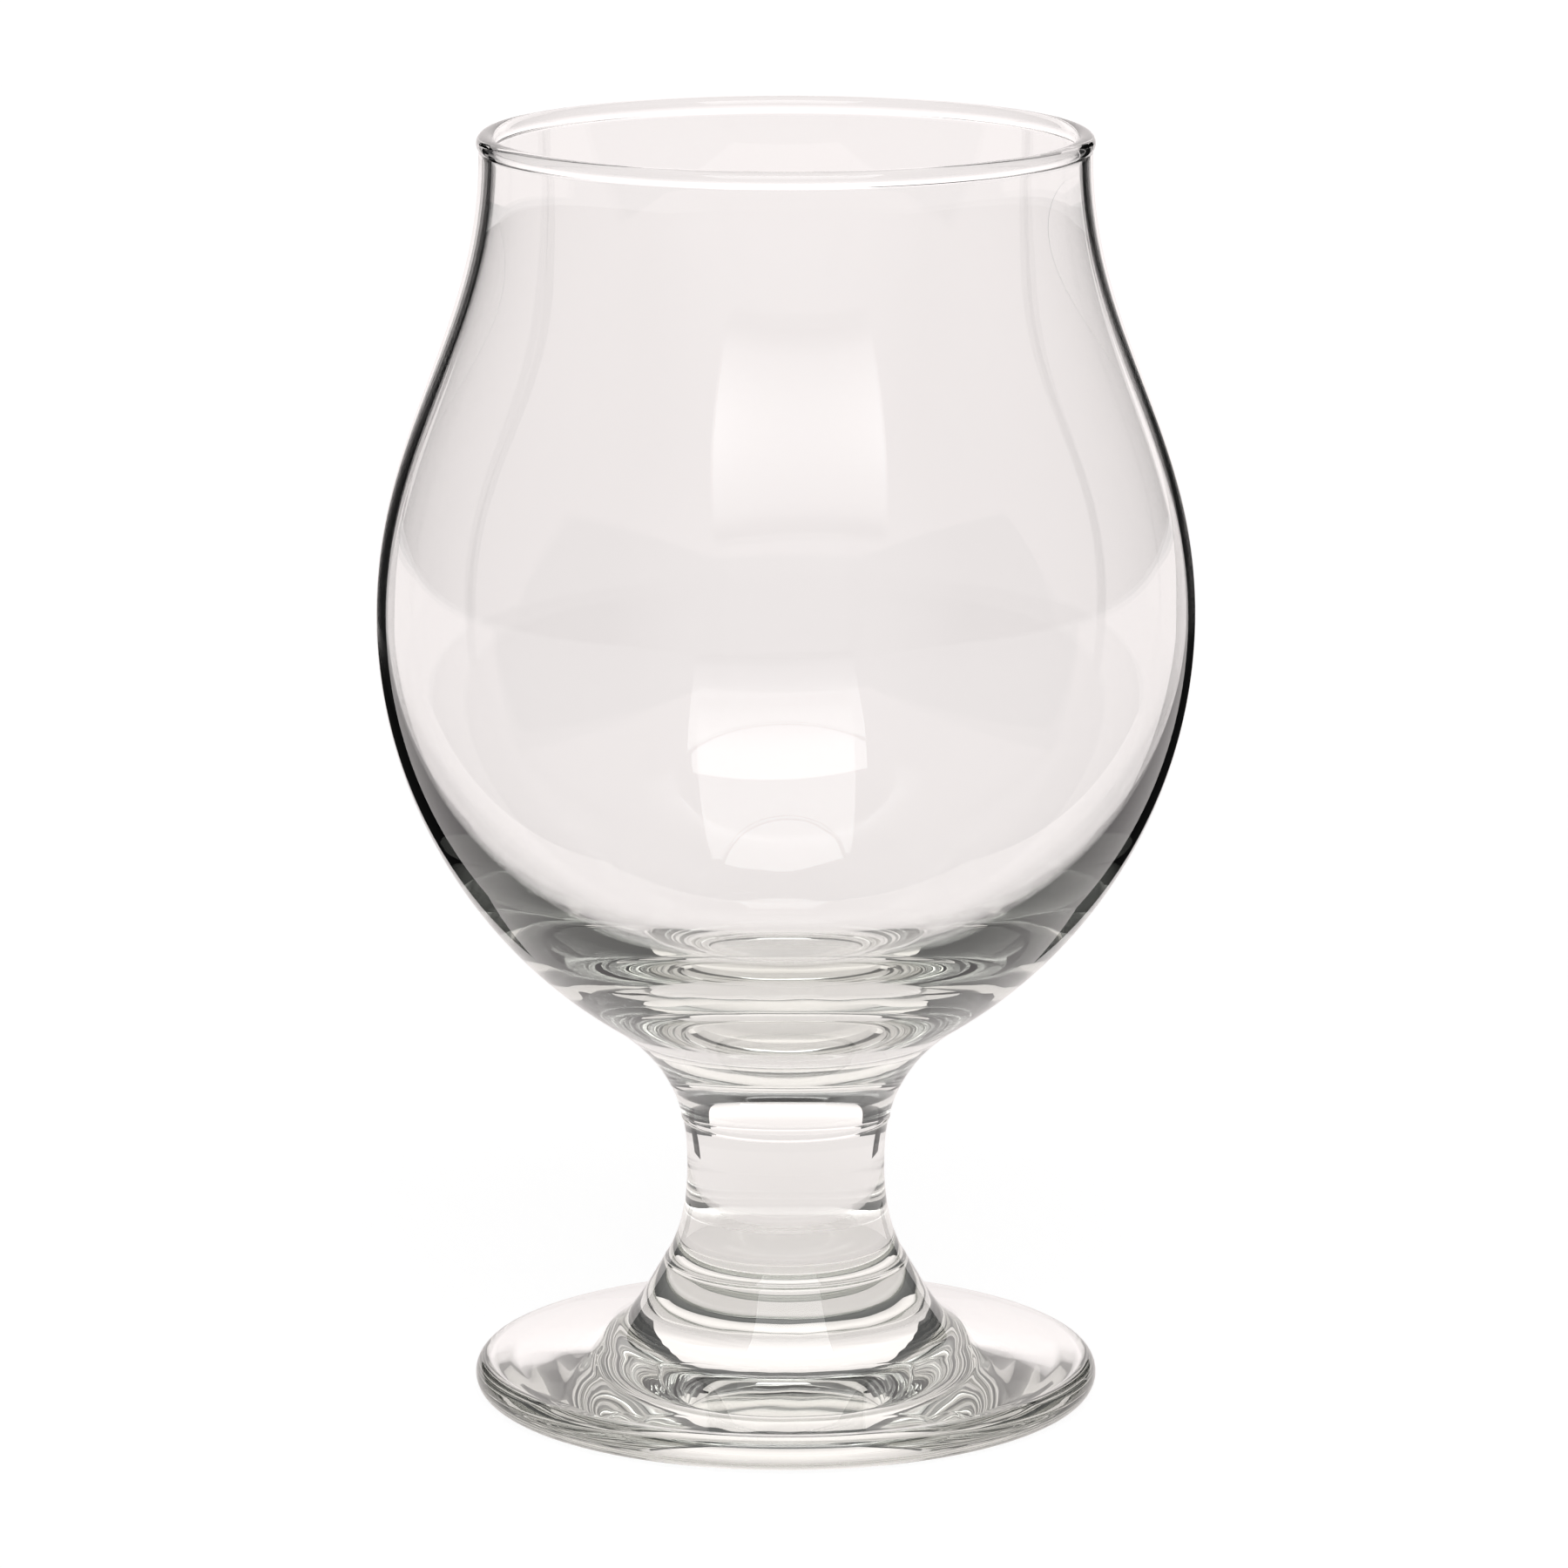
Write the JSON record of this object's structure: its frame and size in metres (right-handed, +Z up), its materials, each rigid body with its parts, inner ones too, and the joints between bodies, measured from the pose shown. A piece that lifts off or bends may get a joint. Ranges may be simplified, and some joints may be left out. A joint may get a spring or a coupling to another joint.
{
  "type": "tulip beer glass",
  "caption": "Clear stemmed tulip beer glass: round belly, drawn-in neck with a beaded rim, thick bowl bottom, short stout stem and a heavy round foot.",
  "frame": {"origin": "middle of the ring that the foot rests on, in the plane of the table", "axes": "+Z up along the glass's axis, out of its mouth; the glass is round, so +X and +Y are any two level directions"},
  "size_m": [0.0892, 0.0892, 0.14],
  "materials": {
    "clear_glass": "clear soda-lime glass, fire-polished"
  },
  "bodies": {
    "root": {"bowl": "clear_glass", "stem": "clear_glass", "foot": "clear_glass"}
  },
  "joints": []
}
